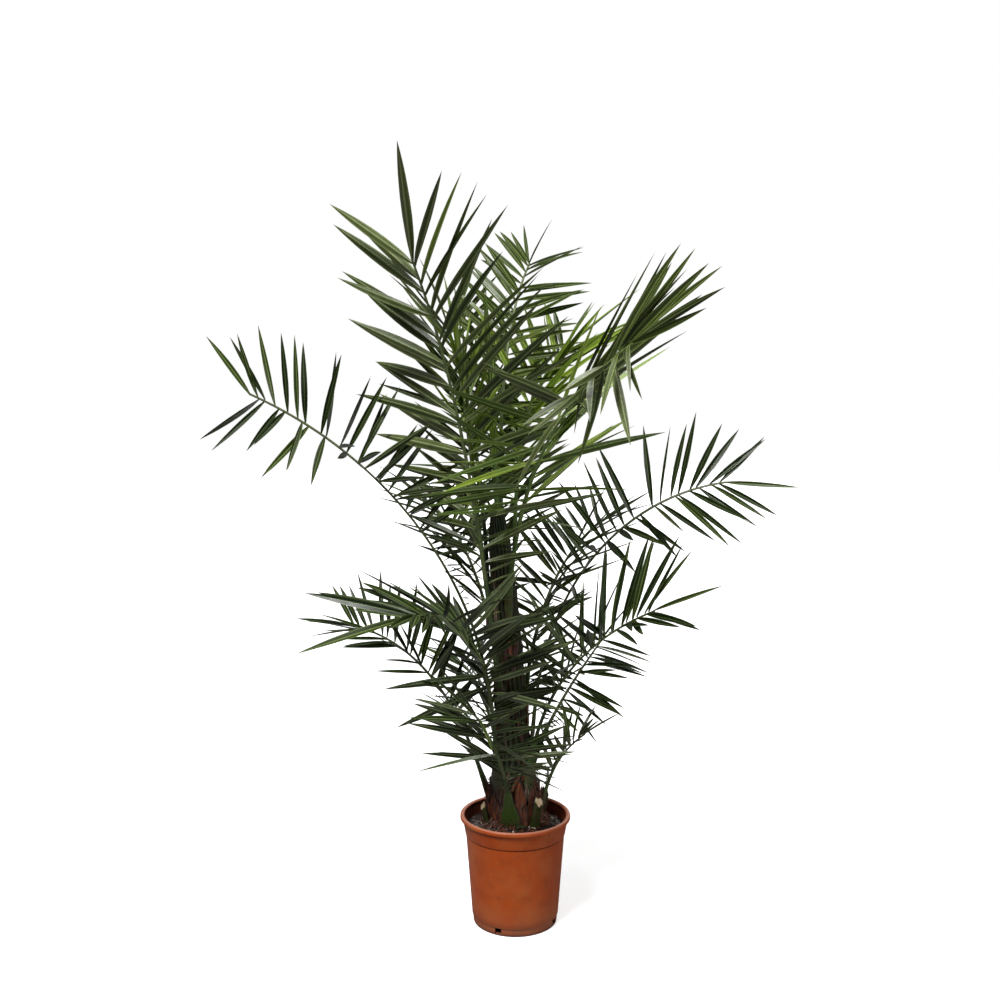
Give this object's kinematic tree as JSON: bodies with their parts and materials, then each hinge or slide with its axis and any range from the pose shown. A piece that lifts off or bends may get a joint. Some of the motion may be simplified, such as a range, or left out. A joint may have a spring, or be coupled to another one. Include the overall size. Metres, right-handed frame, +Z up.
{
  "type": "potted canary island date palm",
  "caption": "Young date palm with a short fibrous trunk and long arching feather fronds of stiff narrow leaflets, in a plain terracotta-coloured plastic pot with a rolled rim.",
  "frame": {"origin": "centre of the pot's flat underside, on the floor", "axes": "+Z up, -Y towards the plant's front, as seen in the picture, +X to the right in that view"},
  "size_m": [1.3094, 1.4468, 1.7195],
  "materials": {
    "pot": "smooth terracotta-coloured plastic with a faint sheen, dusty at the foot",
    "soil": "dark moist bark compost, loose and rough",
    "trunk_fibre": "matt red-brown fibre between leaf bases",
    "cut_base": "dull green stub with a dry cream cut",
    "frond_deep": "dark green leaf with a waxy sheen",
    "frond_olive": "olive green leaf with a waxy sheen",
    "frond_fresh": "fresh yellow-green young leaf with a waxy sheen"
  },
  "bodies": {
    "root": {"cut_base_back": "cut_base", "cut_base_back_left": "cut_base", "cut_base_back_right": "cut_base", "cut_base_left": "cut_base", "cut_base_right": "cut_base", "frond_back_arching": "frond_deep", "frond_back_left": "frond_deep", "frond_back_left_tall": "frond_olive", "frond_back_low": "frond_deep", "frond_back_low_left": "frond_deep", "frond_back_right": "frond_deep", "frond_back_tall": "frond_olive", "frond_front_low": "frond_deep", "frond_front_right": "frond_fresh", "frond_front_tall": "frond_olive", "frond_left_arching": "frond_deep", "frond_left_forward": "frond_deep", "frond_left_low": "frond_deep", "frond_right_arching": "frond_deep", "frond_right_low": "frond_deep", "frond_right_middle": "frond_deep", "frond_right_short": "frond_deep", "frond_young_left": "frond_fresh", "frond_young_right": "frond_fresh", "pot": "pot", "soil": "soil", "spear_leaf": "frond_fresh", "trunk": "trunk_fibre"}
  },
  "joints": []
}
